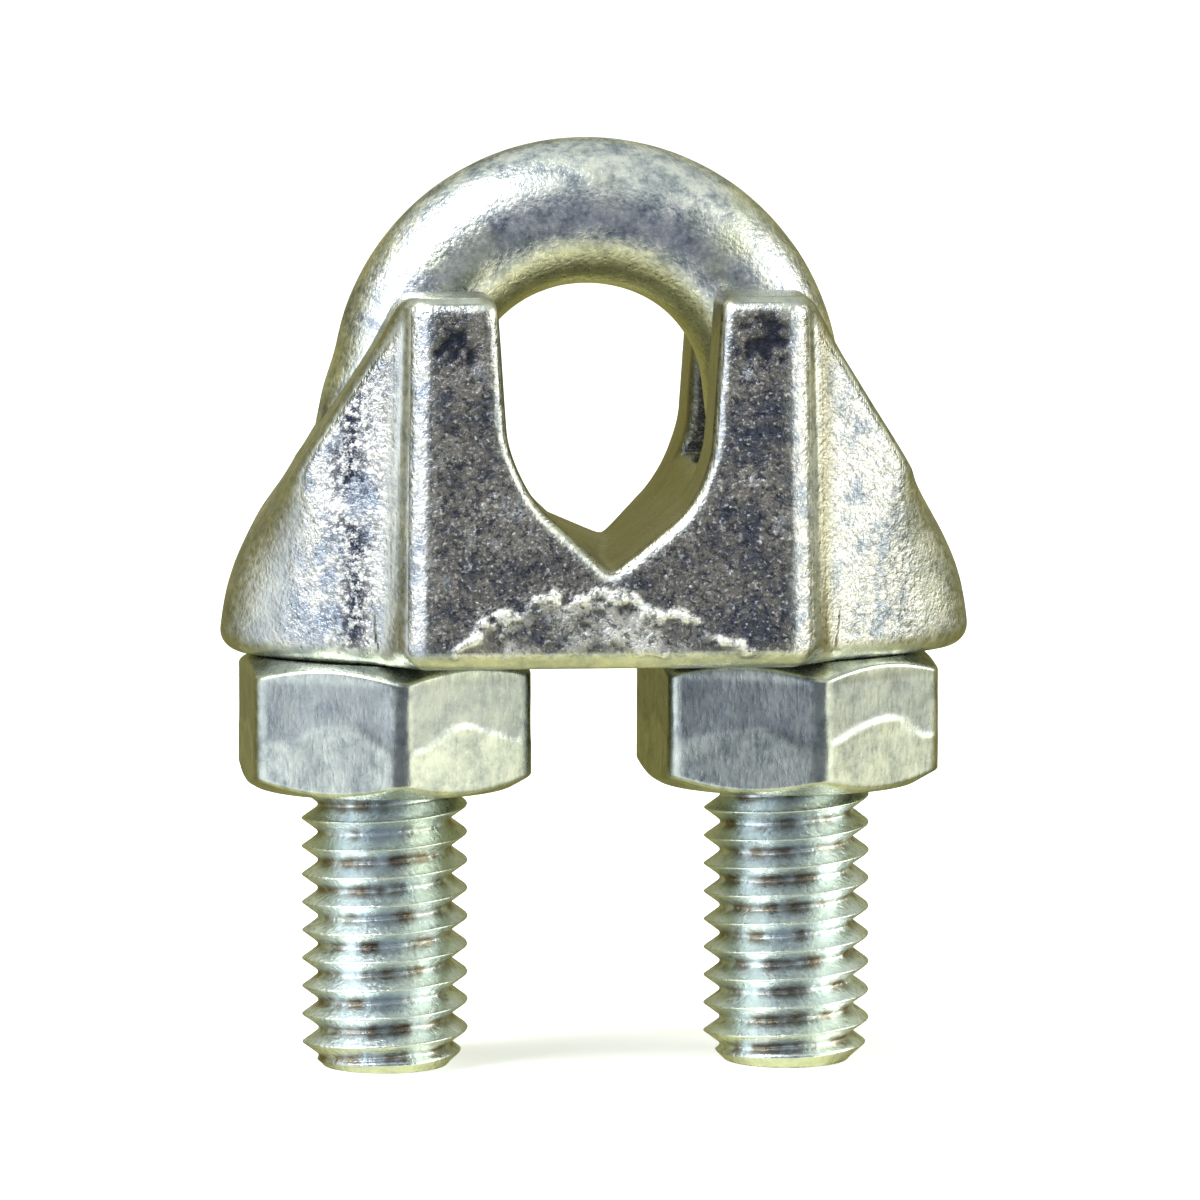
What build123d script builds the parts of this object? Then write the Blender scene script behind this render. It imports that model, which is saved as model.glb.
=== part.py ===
"""Wire rope clip: a U-bolt, a cast saddle and two hex nuts, for wire rope of 6 to 7 mm.

Millimetres. X runs from leg to leg, Y along the rope, Z up. The origin lies on the saddle's middle plane,
level with the ends of the two threaded legs, which are the lowest points. Front is -Y. Threads are ISO
metric M6 x 1, right hand.
"""

from math import cos, radians, sin, sqrt, tan
import os

from build123d import *

# U-bolt
LEG_SPACING = 14.3  # centre to centre of the threaded legs
BOLT_SHIFT = -0.33  # the bolt stands this far off the saddle's middle, within the play of its passages
WIRE_RADIUS = 2.6  # bar, before its ends are thread-rolled
BOW_RADIUS = 6.4  # to the bar's centreline
BOW_CENTRE_HEIGHT = 23.9
LEG_LEAN = 12.0  # degrees that each leg leans in, from its knee up to the bow
KNEE_RADIUS = 7.0
LEFT_X = BOLT_SHIFT - LEG_SPACING / 2
RIGHT_X = BOLT_SHIFT + LEG_SPACING / 2
LEG_X = LEG_SPACING / 2

# Thread, M6 x 1
THREAD_PITCH = 1.0
CREST_RADIUS = 2.95
ROOT_RADIUS = 2.38
CREST_WIDTH = 0.12
FLANK_ANGLE = 30.0
THREAD_TOP = 15.6
RUN_OUT_HEIGHT = 0.6
LEG_POINT_RADIUS = 2.2  # flat at the end of each leg
LEG_POINT_HEIGHT = 0.7
# Height within one pitch at which each thread's crest crosses its leg's +X side
THREAD_PHASE = {"left": 0.32, "right": 0.52}

# Hex nuts
NUT_ACROSS_FLATS = 9.85
NUT_HEIGHT = 4.7
NUT_BOTTOM = 10.05
NUT_CHAMFER_ANGLE = 30.0
NUT_FACE_RADIUS = 4.6  # round bearing face
NUT_BORE_RADIUS = 2.5
NUT_MOUTH_RADIUS = 3.15
THREAD_CLEARANCE = 0.06
# Turn of each nut on its leg: degrees from -Y to the nearest corner, towards +X
NUT_TURN = {"left": 3.6, "right": 7.3}

# Saddle casting
SADDLE_BOTTOM = NUT_BOTTOM + NUT_HEIGHT
SADDLE_HEIGHT = 13.0
BASE_HALF_DEPTH = 7.0
TOP_HALF_DEPTH = 6.8
BASE_FACE_HALF_WIDTH = 7.15  # flat front and back faces
TOP_FACE_HALF_WIDTH = 6.8
LOBE_SETBACK = 0.7  # the lobes start this far behind the flat faces
FACET_TURN = 38.0  # degrees in plan between the flat faces and each side facet
BASE_FACET_RUN = 4.2  # X extent of a side facet
TOP_FACET_RUN = 0.6
END_HALF_LENGTH = 13.6  # rounded ends, as if the draft ran straight to the base
END_DRAFT = 3.0
END_SLOPE = 32.7  # degrees from vertical, above the blend
END_BLEND = 1.0
LOFT_STEPS = 6
CAST_EDGE_RADIUS = 0.5

# Passages for the two legs
LEG_HOLE_RADIUS = 3.1
LEG_HOLE_INNER_X = 6.65
LEG_HOLE_OUTER_X = 7.42
CHANNEL_OPENING_HEIGHT = 21.4  # above this the passages open into the rope slot

# Rope seat
SEAT_AXIS_HEIGHT = 21.85
SEAT_RADIUS = 3.45
SLOT_TOP_HALF_WIDTH = 3.85
SEAT_NOTCH_HALF_WIDTH = 1.3
SEAT_NOTCH_BOTTOM = 18.0
SEAT_NOTCH_TOP = 18.95
SLOT_EDGE_RADIUS = 0.45


def thread_ridge(clearance, bottom, top, phase):
    """One helical thread ridge about +Z, grown all round by the clearance."""
    base_radius = ROOT_RADIUS - 0.15
    crest_radius = CREST_RADIUS + clearance
    half_crest = CREST_WIDTH / 2 + clearance / cos(radians(FLANK_ANGLE))
    half_base = half_crest + (crest_radius - base_radius) * tan(radians(FLANK_ANGLE))
    start = bottom + (phase - bottom) % THREAD_PITCH - THREAD_PITCH
    with BuildPart() as ridge:
        with BuildLine() as path:
            Helix(THREAD_PITCH, top + THREAD_PITCH - start, base_radius, center=(0, 0, start))
        with BuildSketch(Plane.XZ):
            with BuildLine():
                Polyline(
                    (base_radius, start - half_base),
                    (crest_radius, start - half_crest),
                    (crest_radius, start + half_crest),
                    (base_radius, start + half_base),
                    close=True,
                )
            make_face()
        sweep(path=path.line, is_frenet=True)
    return ridge.part


def threaded_leg(side):
    """The threaded length of one leg about +Z, with a chamfered point and a run-out below the bar."""
    ridge = thread_ridge(0, 0, THREAD_TOP, THREAD_PHASE[side])
    point_slope = LEG_POINT_HEIGHT / (CREST_RADIUS - LEG_POINT_RADIUS)
    with BuildPart() as leg:
        with BuildSketch(Plane.XZ):
            with BuildLine():
                Polyline(
                    (0, 0),
                    (LEG_POINT_RADIUS, 0),
                    (CREST_RADIUS + 0.01, LEG_POINT_HEIGHT),
                    (CREST_RADIUS + 0.01, THREAD_TOP - RUN_OUT_HEIGHT),
                    (ROOT_RADIUS, THREAD_TOP),
                    (0, THREAD_TOP),
                    close=True,
                )
            make_face()
        revolve(axis=Axis.Z)
        add(ridge, mode=Mode.INTERSECT)
        with BuildSketch(Plane.XZ):
            with BuildLine():
                Polyline(
                    (0, 0),
                    (LEG_POINT_RADIUS, 0),
                    (ROOT_RADIUS, (ROOT_RADIUS - LEG_POINT_RADIUS) * point_slope),
                    (ROOT_RADIUS, THREAD_TOP),
                    (0, THREAD_TOP),
                    close=True,
                )
            make_face()
        revolve(axis=Axis.Z)
    return leg.part


# The bar leans in from each knee and meets the bow's arc on a tangent.
tangent_x = BOW_RADIUS * cos(radians(LEG_LEAN))
tangent_z = BOW_CENTRE_HEIGHT + BOW_RADIUS * sin(radians(LEG_LEAN))
knee_run = KNEE_RADIUS * (1 - cos(radians(LEG_LEAN)))
lean_length = (LEG_X - knee_run - tangent_x) / sin(radians(LEG_LEAN))
knee_top = tangent_z - lean_length * cos(radians(LEG_LEAN))
knee_bottom = knee_top - KNEE_RADIUS * sin(radians(LEG_LEAN))

left_leg = threaded_leg("left")
right_leg = threaded_leg("right")

with BuildPart() as u_bolt:
    with BuildLine(Plane.XZ) as bar:
        with BuildLine(Plane.XZ):
            Line((LEG_X, THREAD_TOP), (LEG_X, knee_bottom))
            JernArc((LEG_X, knee_bottom), (0, 1), KNEE_RADIUS, LEG_LEAN)
            Line((LEG_X - knee_run, knee_top), (tangent_x, tangent_z))
            mirror(about=Plane.YZ)
        JernArc((tangent_x, tangent_z), (-sin(radians(LEG_LEAN)), cos(radians(LEG_LEAN))), BOW_RADIUS,
                180 - 2 * LEG_LEAN)
    with BuildSketch(Plane.XY.offset(THREAD_TOP)):
        with Locations((LEG_X, 0)):
            Circle(WIRE_RADIUS)
    sweep(path=bar.wires()[0])
    add(left_leg.locate(Location((-LEG_X, 0, 0))))
    add(right_leg.locate(Location((LEG_X, 0, 0))))
bolt = u_bolt.part.locate(Location((BOLT_SHIFT, 0, 0)))
bolt.label = "u_bolt"


def end_reach(height):
    """Half length of the saddle at a height above its base: drafted wall blended into the slope."""
    wall = END_HALF_LENGTH - height * tan(radians(END_DRAFT))
    slope = TOP_FACE_HALF_WIDTH + (SADDLE_HEIGHT - height) * tan(radians(END_SLOPE))
    return (wall + slope - sqrt((wall - slope) ** 2 + END_BLEND**2)) / 2


def lobe_outline(step):
    """Plan outline of the two end lobes at one loft step: side facets running into rounded ends."""
    share = step / LOFT_STEPS
    height = SADDLE_HEIGHT * share
    front = BASE_HALF_DEPTH + (TOP_HALF_DEPTH - BASE_HALF_DEPTH) * share - LOBE_SETBACK
    face = BASE_FACE_HALF_WIDTH + (TOP_FACE_HALF_WIDTH - BASE_FACE_HALF_WIDTH) * share - CAST_EDGE_RADIUS
    facet_run = BASE_FACET_RUN + (TOP_FACET_RUN - BASE_FACET_RUN) * share
    facet_end = (face + facet_run, -front + facet_run * tan(radians(FACET_TURN)))
    with BuildSketch(Plane.XY.offset(SADDLE_BOTTOM + height)) as outline:
        with BuildLine():
            Line((0, -front), (face, -front))
            Line((face, -front), facet_end)
            ThreePointArc(facet_end, (end_reach(height), 0), (facet_end[0], -facet_end[1]))
            Line((facet_end[0], -facet_end[1]), (face, front))
            Line((face, front), (0, front))
            mirror(about=Plane.YZ)
        make_face()
    return outline.sketch.face()


def leg_passages():
    """Two upright passages for the legs, elongated inwards, which open into the rope slot higher up."""
    with BuildPart() as passages:
        with BuildSketch(Plane.XY.offset(SADDLE_BOTTOM)):
            for side in (-1, 1):
                with Locations((side * (LEG_HOLE_OUTER_X + LEG_HOLE_INNER_X) / 2, 0)):
                    SlotCenterToCenter(LEG_HOLE_OUTER_X - LEG_HOLE_INNER_X, 2 * LEG_HOLE_RADIUS)
        extrude(amount=SADDLE_HEIGHT)
        with BuildSketch(Plane.XY.offset(CHANNEL_OPENING_HEIGHT)):
            Rectangle(2 * LEG_HOLE_OUTER_X, 2 * LEG_HOLE_RADIUS)
        extrude(amount=SADDLE_BOTTOM + SADDLE_HEIGHT - CHANNEL_OPENING_HEIGHT)
    return passages.part


with BuildPart() as block:
    with BuildSketch(Plane.XY.offset(SADDLE_BOTTOM)):
        Rectangle(2 * BASE_FACE_HALF_WIDTH, 2 * BASE_HALF_DEPTH)
    with BuildSketch(Plane.XY.offset(SADDLE_BOTTOM + SADDLE_HEIGHT)):
        Rectangle(2 * TOP_FACE_HALF_WIDTH, 2 * TOP_HALF_DEPTH)
    loft(ruled=True)
    fillet(block.edges(), CAST_EDGE_RADIUS)

with BuildPart() as lobes:
    loft(sections=[lobe_outline(step) for step in range(LOFT_STEPS + 1)])
    fillet(lobes.edges().group_by(Axis.Z)[0], CAST_EDGE_RADIUS)

with BuildPart() as saddle:
    add(block.part)
    add(lobes.part)
    add(leg_passages(), mode=Mode.SUBTRACT)
    with BuildSketch(Plane.XZ):
        with BuildLine():
            CenterArc((0, SEAT_AXIS_HEIGHT), SEAT_RADIUS, 180, 180)
            Polyline(
                (-SEAT_RADIUS, SEAT_AXIS_HEIGHT),
                (-SLOT_TOP_HALF_WIDTH, SADDLE_BOTTOM + SADDLE_HEIGHT + 0.1),
                (SLOT_TOP_HALF_WIDTH, SADDLE_BOTTOM + SADDLE_HEIGHT + 0.1),
                (SEAT_RADIUS, SEAT_AXIS_HEIGHT),
            )
        make_face()
        with BuildLine():
            Polyline(
                (0, SEAT_NOTCH_BOTTOM),
                (SEAT_NOTCH_HALF_WIDTH, SEAT_NOTCH_TOP),
                (-SEAT_NOTCH_HALF_WIDTH, SEAT_NOTCH_TOP),
                close=True,
            )
        make_face()
    extrude(amount=BASE_HALF_DEPTH + 1, both=True, mode=Mode.SUBTRACT)
    mouths = saddle.edges().filter_by(
        lambda edge: abs(edge.center().X) < SLOT_TOP_HALF_WIDTH + 0.1
        and abs(edge.center().Y) > TOP_HALF_DEPTH - 0.1
        and edge.center().Z > SEAT_NOTCH_BOTTOM
    )
    fillet(mouths, SLOT_EDGE_RADIUS)
saddle.part.label = "saddle"


def hex_nut(side):
    """One hex nut about +Z, tapped to run on the thread of its leg."""
    groove = thread_ridge(THREAD_CLEARANCE, NUT_BOTTOM - 1, NUT_BOTTOM + NUT_HEIGHT + 1, THREAD_PHASE[side])
    corner_radius = NUT_ACROSS_FLATS / sqrt(3)
    chamfer = (corner_radius - NUT_FACE_RADIUS) * tan(radians(NUT_CHAMFER_ANGLE))
    mouth = NUT_MOUTH_RADIUS - NUT_BORE_RADIUS
    top = NUT_BOTTOM + NUT_HEIGHT
    with BuildPart() as nut:
        with BuildSketch(Plane.XY.offset(NUT_BOTTOM)):
            RegularPolygon(NUT_ACROSS_FLATS / 2, 6, major_radius=False, rotation=NUT_TURN[side] - 90)
        extrude(amount=NUT_HEIGHT)
        with BuildSketch(Plane.XZ):
            with BuildLine():
                Polyline(
                    (NUT_BORE_RADIUS, NUT_BOTTOM + mouth),
                    (NUT_MOUTH_RADIUS, NUT_BOTTOM),
                    (NUT_FACE_RADIUS, NUT_BOTTOM),
                    (corner_radius, NUT_BOTTOM + chamfer),
                    (corner_radius, top - chamfer),
                    (NUT_FACE_RADIUS, top),
                    (NUT_MOUTH_RADIUS, top),
                    (NUT_BORE_RADIUS, top - mouth),
                    close=True,
                )
            make_face()
        revolve(axis=Axis.Z, mode=Mode.INTERSECT)
        add(groove, mode=Mode.SUBTRACT)
    return nut.part


left_nut = hex_nut("left").locate(Location((LEFT_X, 0, 0)))
left_nut.label = "left_nut"
right_nut = hex_nut("right").locate(Location((RIGHT_X, 0, 0)))
right_nut.label = "right_nut"

os.makedirs("parts", exist_ok=True)
export_step(bolt, "parts/u_bolt.step")
export_step(saddle.part, "parts/saddle.step")
export_step(left_nut, "parts/left_nut.step")
export_step(right_nut, "parts/right_nut.step")
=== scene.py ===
"""Zinc-plated wire rope clip: bent U-bolt, cast saddle and two hex nuts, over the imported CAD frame."""

from math import atan2, ceil, cos, floor, pi, radians, sin, tan

import bmesh
import bpy
import numpy as np
from bpy.props import FloatProperty, FloatVectorProperty, IntProperty, PointerProperty, StringProperty
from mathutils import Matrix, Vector


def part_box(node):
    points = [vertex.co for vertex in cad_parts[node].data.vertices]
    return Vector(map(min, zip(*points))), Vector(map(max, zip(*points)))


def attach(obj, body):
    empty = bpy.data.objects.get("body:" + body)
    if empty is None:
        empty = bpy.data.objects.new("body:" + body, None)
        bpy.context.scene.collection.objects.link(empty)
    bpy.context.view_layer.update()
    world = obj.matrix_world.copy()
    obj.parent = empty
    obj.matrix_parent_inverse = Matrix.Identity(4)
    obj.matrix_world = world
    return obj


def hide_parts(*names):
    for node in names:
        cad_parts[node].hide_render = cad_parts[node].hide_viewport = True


bl_info = {
    "name": "Wire Rope Clip",
    "version": (1, 0, 0),
    "blender": (4, 5, 0),
    "location": "View3D > Sidebar > Rope Clip",
    "description": "Builds a zinc-plated wire rope clip around its CAD frame",
    "category": "Object",
}

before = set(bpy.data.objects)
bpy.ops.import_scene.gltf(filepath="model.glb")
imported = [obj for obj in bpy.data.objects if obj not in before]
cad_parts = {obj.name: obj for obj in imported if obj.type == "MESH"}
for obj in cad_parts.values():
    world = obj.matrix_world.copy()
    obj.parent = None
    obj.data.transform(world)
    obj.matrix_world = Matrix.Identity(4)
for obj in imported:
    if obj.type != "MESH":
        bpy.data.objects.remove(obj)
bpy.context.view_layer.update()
MM = 0.001


def in_mm(node):
    """Lowest and highest corner of a CAD node, in millimetres."""
    low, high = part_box(node)
    return np.array(low) / MM, np.array(high) / MM


BOLT_TOP = in_mm("u_bolt")[1][2]
SADDLE_LOW, SADDLE_HIGH = in_mm("saddle")
NUT_LOW, NUT_HIGH = in_mm("left_nut")
LEG_PLACES = {side: sum(in_mm(side + "_nut"))[0] / 2 for side in ("left", "right")}
BOLT_X = (LEG_PLACES["left"] + LEG_PLACES["right"]) / 2
LEG_X = (LEG_PLACES["right"] - LEG_PLACES["left"]) / 2
THREAD_PITCH = 1.0
CREST_RADIUS = 2.95
ROOT_RADIUS = 2.38
# Height within one pitch at which each leg's thread crest crosses its +X side
CREST_HEIGHTS = {"left": 0.32, "right": 0.52}


# ---------------------------------------------------------------- settings


class ClipBoltSettings(bpy.types.PropertyGroup):
    bow_radius: FloatProperty(name="Bow Radius", description="Outside radius of the bow in mm", default=9.0)
    bar_thickness: FloatProperty(name="Bar", description="Thickness of the bar in mm", default=5.2)
    bend_thinning: FloatProperty(
        name="Bend Thinning",
        description="How much thinner the bar is at the bow's sides, in mm",
        default=0.3,
    )
    leg_lean: FloatProperty(
        name="Leg Lean",
        description="Inward lean of the legs above their knees",
        default=radians(12),
        subtype="ANGLE",
    )
    knee_radius: FloatProperty(
        name="Knees", description="Radius of the bend at the top of each leg in mm", default=7.0
    )
    thread_top: FloatProperty(
        name="Thread Top", description="Height of the thread's end in mm", default=15.6
    )
    columns: IntProperty(name="Columns", description="Faces round the bar", default=96)


class ClipSaddleSettings(bpy.types.PropertyGroup):
    cell: FloatProperty(name="Cell", description="Mesh cell of the casting in mm", default=0.12)
    face_depth: FloatProperty(
        name="Face", description="Half depth between the flat faces in mm", default=6.78
    )
    edge_radius: FloatProperty(
        name="Edges", description="Radius of the cast outer edges in mm", default=0.6
    )
    slot_edge_radius: FloatProperty(
        name="Slot Edges", description="Radius of the rope slot's edges in mm", default=0.45
    )
    base_radius: FloatProperty(
        name="Base Edge", description="Radius of the edge round the base in mm", default=0.9
    )
    skin_depth: FloatProperty(
        name="Skin", description="Height of the cast skin's lumps in mm", default=0.05
    )
    pit_depth: FloatProperty(
        name="Pits", description="Depth of the pits near the tops of the horns in mm", default=0.14
    )
    mark_height: FloatProperty(
        name="Cast Mark", description="Height of the raised cast mark in mm", default=0.22
    )


class ClipNutSettings(bpy.types.PropertyGroup):
    across_flats: FloatProperty(
        name="Across Flats", description="Width across the flats in mm", default=9.85
    )
    left_turn: FloatProperty(
        name="Left Turn",
        description="Angle from the front to a corner",
        default=radians(3.6),
        subtype="ANGLE",
    )
    right_turn: FloatProperty(
        name="Right Turn",
        description="Angle from the front to a corner",
        default=radians(7.3),
        subtype="ANGLE",
    )
    corner_radius: FloatProperty(
        name="Corners", description="Radius of the upright corners in mm", default=0.8
    )
    forging_step: FloatProperty(
        name="Forging Step", description="Height of the wavy step across each flat in mm", default=0.035
    )


class ClipStageSettings(bpy.types.PropertyGroup):
    view_turn: FloatProperty(
        name="View Turn",
        description="Camera angle round the clip",
        default=radians(-4.8),
        subtype="ANGLE",
    )
    view_height: FloatProperty(
        name="View Height",
        description="Camera angle above level",
        default=radians(6.6),
        subtype="ANGLE",
    )
    distance: FloatProperty(name="Distance", description="Camera distance in mm", default=300.0)
    span: FloatProperty(name="Span", description="Width of the view at the clip in mm", default=42.43)
    aim: FloatVectorProperty(
        name="Aim", description="Point the view is centred on, in mm", default=(0.18, 0.0, 16.48)
    )
    floor_colour: StringProperty(name="Floor", description="Floor colour as sRGB hex", default="F6F6F4")
    table_glow: FloatProperty(
        name="Table Glow", description="Light that the table itself gives", default=0.4
    )
    wall_light: FloatProperty(
        name="Wall Light", description="Strength of the bright studio walls", default=2.2
    )
    front_colour: StringProperty(
        name="Front", description="Colour behind the camera as sRGB hex", default="5F636F"
    )
    left_colour: StringProperty(name="Left", description="Bright left wall as sRGB hex", default="EAF0FF")
    right_colour: StringProperty(
        name="Right", description="Bright right wall as sRGB hex", default="FFFFF2"
    )
    back_colour: StringProperty(
        name="Back", description="Colour behind the clip as sRGB hex", default="68643C"
    )
    ceiling_colour: StringProperty(
        name="Ceiling", description="Ceiling colour as sRGB hex", default="A6ABA6"
    )
    table_colour: StringProperty(
        name="Table", description="Colour below, as the metal mirrors it", default="BFBD8E"
    )


# ---------------------------------------------------------------- helpers


def linear(code):
    """Linear RGBA of an sRGB hex colour."""
    channels = [int(code[i : i + 2], 16) / 255 for i in (0, 2, 4)]
    return tuple(c / 12.92 if c <= 0.04045 else ((c + 0.055) / 1.055) ** 2.4 for c in channels) + (1.0,)


# Sockets that share a name with others on their node: a colour Mix, and a Map Range
SHARE, UNDER, OVER, MIXED = 0, 6, 7, 2
FROM_LOW, FROM_HIGH, TO_LOW, TO_HIGH = 1, 2, 3, 4


def add_node(tree, kind, inputs=None, stops=None, **settings):
    """A node with its settings, its sockets' values or links, and a ramp's stops."""
    node = tree.nodes.new(kind)
    for name, value in settings.items():
        setattr(node, name, value)
    for socket, value in (inputs or {}).items():
        if isinstance(value, bpy.types.NodeSocket):
            tree.links.new(value, node.inputs[socket])
        else:
            node.inputs[socket].default_value = value
    if stops:
        ramp = node.color_ramp.elements
        for _ in range(len(stops) - len(ramp)):
            ramp.new(0.5)
        for element, (place, colour) in zip(ramp, stops):
            element.position = place
            element.color = colour
    return node


def lumps(points, size, seed):
    """Smooth random values from -1 to 1 at points in mm; size is the distance between lumps in mm."""
    repeat = 64
    lattice = np.random.default_rng(seed).uniform(-1, 1, (repeat, repeat, repeat))
    places = points / size + 10.0 * repeat
    cell = np.floor(places).astype(int)
    share = places - cell
    share = share * share * (3 - 2 * share)
    total = np.zeros(len(points))
    for corner in np.ndindex(2, 2, 2):
        weight = np.prod(np.where(corner, share, 1 - share), axis=1)
        index = (cell + corner) % repeat
        total += weight * lattice[index[:, 0], index[:, 1], index[:, 2]]
    return total


def ease(value):
    """Smooth step from 0 to 1."""
    value = np.clip(value, 0, 1)
    return value * value * (3 - 2 * value)


def make_piece(name, points, faces, material, body, node, tones=None):
    """A smooth mesh piece from points in mm, with named tones for each point, in place of a CAD node."""
    mesh = bpy.data.meshes.new(name)
    mesh.from_pydata((np.asarray(points) * MM).tolist(), [], faces)
    for tone, values in (tones or {}).items():
        layer = mesh.attributes.new(tone, "FLOAT", "POINT")
        layer.data.foreach_set("value", np.asarray(values, np.float32))
    work = bmesh.new()
    work.from_mesh(mesh)
    bmesh.ops.remove_doubles(work, verts=work.verts, dist=2e-6)
    bmesh.ops.dissolve_degenerate(work, edges=work.edges, dist=1e-7)
    bmesh.ops.recalc_face_normals(work, faces=work.faces)
    work.to_mesh(mesh)
    work.free()
    mesh.shade_smooth()
    mesh.materials.append(material)
    piece = bpy.data.objects.new(name, mesh)
    bpy.context.scene.collection.objects.link(piece)
    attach(piece, body)
    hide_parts(node)
    return piece


# ---------------------------------------------------------------- threads

# Radius between root (0) and crest (1) at each share of a pitch from one crest to the next: the 60 degree
# form of an ISO thread, its crest and root slightly rounded by rolling.
HALF_SHARES = (0.0, 0.025, 0.05, 0.09, 0.16, 0.24, 0.32, 0.39, 0.44, 0.5)
HALF_RISES = (1.0, 0.975, 0.92, 0.825, 0.655, 0.465, 0.275, 0.115, 0.03, 0.0)
THREAD_SHARES = HALF_SHARES + tuple(1 - share for share in HALF_SHARES[-2:0:-1])
THREAD_RISES = HALF_RISES + HALF_RISES[-2:0:-1]


def thread_sleeve(angles, root, crest, crest_height, bottom, top, limit):
    """Points, faces and crest share of a helical thread surface whose rows follow the helix."""
    per_turn = len(THREAD_SHARES)
    first = floor((bottom - crest_height) / THREAD_PITCH) - 2
    last = ceil((top - crest_height) / THREAD_PITCH) + 1
    shares = np.array([turn + share for turn in range(first, last) for share in THREAD_SHARES])
    rises = np.array(THREAD_RISES * (last - first))
    heights = crest_height + (shares[:, None] + angles[None, :] / (2 * pi)) * THREAD_PITCH
    heights = np.clip(heights, bottom, top)
    radii = limit((root + (crest - root) * rises)[:, None] + 0 * heights, heights)
    points = np.stack([radii * np.cos(angles), radii * np.sin(angles), heights], axis=-1).reshape(-1, 3)
    columns = len(angles)
    rows = len(shares)
    faces = []
    for row in range(rows - 1):
        for column in range(columns):
            here = row * columns + column
            if column + 1 < columns:
                faces.append((here, here + 1, here + columns + 1, here + columns))
            elif row + per_turn + 1 < rows:
                wrap = (row + per_turn) * columns
                faces.append((here, wrap, wrap + columns, here + columns))
    return points, faces, np.repeat(rises, columns)


def ring_faces(first, rows, columns):
    """Faces of a closed tube of rings."""
    faces = []
    for row in range(rows - 1):
        for column in range(columns):
            here = first + row * columns + column
            beside = first + row * columns + (column + 1) % columns
            faces.append((here, beside, beside + columns, here + columns))
    return faces


# ---------------------------------------------------------------- U-bolt


def bar_line(look):
    """Centres and half thicknesses of the bar, from the left thread's top over the bow to the right's."""
    half = look.bar_thickness / 2
    lean = look.leg_lean
    knee_radius = look.knee_radius
    arc = np.linspace(-pi / 2 + lean, pi / 2 - lean, 150)
    thick = half - look.bend_thinning / 2 * np.sin(arc) ** 2
    reach = look.bow_radius - thick
    centre_height = BOLT_TOP - look.bow_radius
    bow = np.stack([reach * np.sin(arc), centre_height + reach * np.cos(arc)], axis=1)
    knee_run = knee_radius * (1 - cos(lean))
    knee_top = bow[-1, 1] - (LEG_X - knee_run - bow[-1, 0]) / tan(lean)
    bends = np.linspace(lean, 0, 12)
    knee_across = LEG_X - knee_radius * (1 - np.cos(bends))
    knee_up = knee_top - knee_radius * (sin(lean) - np.sin(bends))
    knee = np.stack([knee_across, knee_up], axis=1)
    leaning = bow[-1] + (knee[0] - bow[-1]) * np.linspace(0, 1, 40)[1:, None]
    foot = np.array([LEG_X, look.thread_top])
    straight = knee[-1] + (foot - knee[-1]) * np.linspace(0, 1, 5)[1:, None]
    side = np.concatenate([leaning, knee[1:], straight])
    side_thick = thick[-1] + (half - thick[-1]) * ease(np.linspace(0, 2, len(side)))
    line = np.concatenate([side[::-1] * (-1, 1), bow, side])
    return line, np.concatenate([side_thick[::-1], thick, side_thick])


def bar_rings(look, turns):
    """Points of the bent bar's rings, closed at each end onto the thread's root."""
    line, halves = bar_line(look)
    along = np.gradient(line, axis=0)
    along /= np.linalg.norm(along, axis=1)[:, None]
    outward = np.stack([-along[:, 1], along[:, 0]], axis=1)
    line = np.concatenate([line[:1], line, line[-1:]])
    outward = np.concatenate([outward[:1], outward, outward[-1:]])
    halves = np.concatenate([[ROOT_RADIUS], halves, [ROOT_RADIUS]])
    widths = np.full(len(line), look.bar_thickness / 2)
    widths[[0, -1]] = ROOT_RADIUS
    rings = np.zeros((len(line), len(turns), 3))
    rings[..., 0] = line[:, :1] + outward[:, :1] * halves[:, None] * np.cos(turns)
    rings[..., 1] = widths[:, None] * np.sin(turns)
    rings[..., 2] = line[:, 1:] + outward[:, 1:] * halves[:, None] * np.cos(turns)
    middles = np.stack([line[:, 0], 0 * line[:, 0], line[:, 1]], axis=1)[:, None, :]
    away = rings - middles
    away /= np.linalg.norm(away, axis=2)[..., None]
    flat = rings.reshape(-1, 3)
    # Bending leaves faint flats and dents along the bar
    dents = (0.02 * lumps(flat, 2.8, 8) + 0.007 * lumps(flat, 0.9, 9) - 0.025).reshape(rings.shape[:2])
    dents[[0, -1]] = 0
    return rings + away * dents[..., None]


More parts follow.
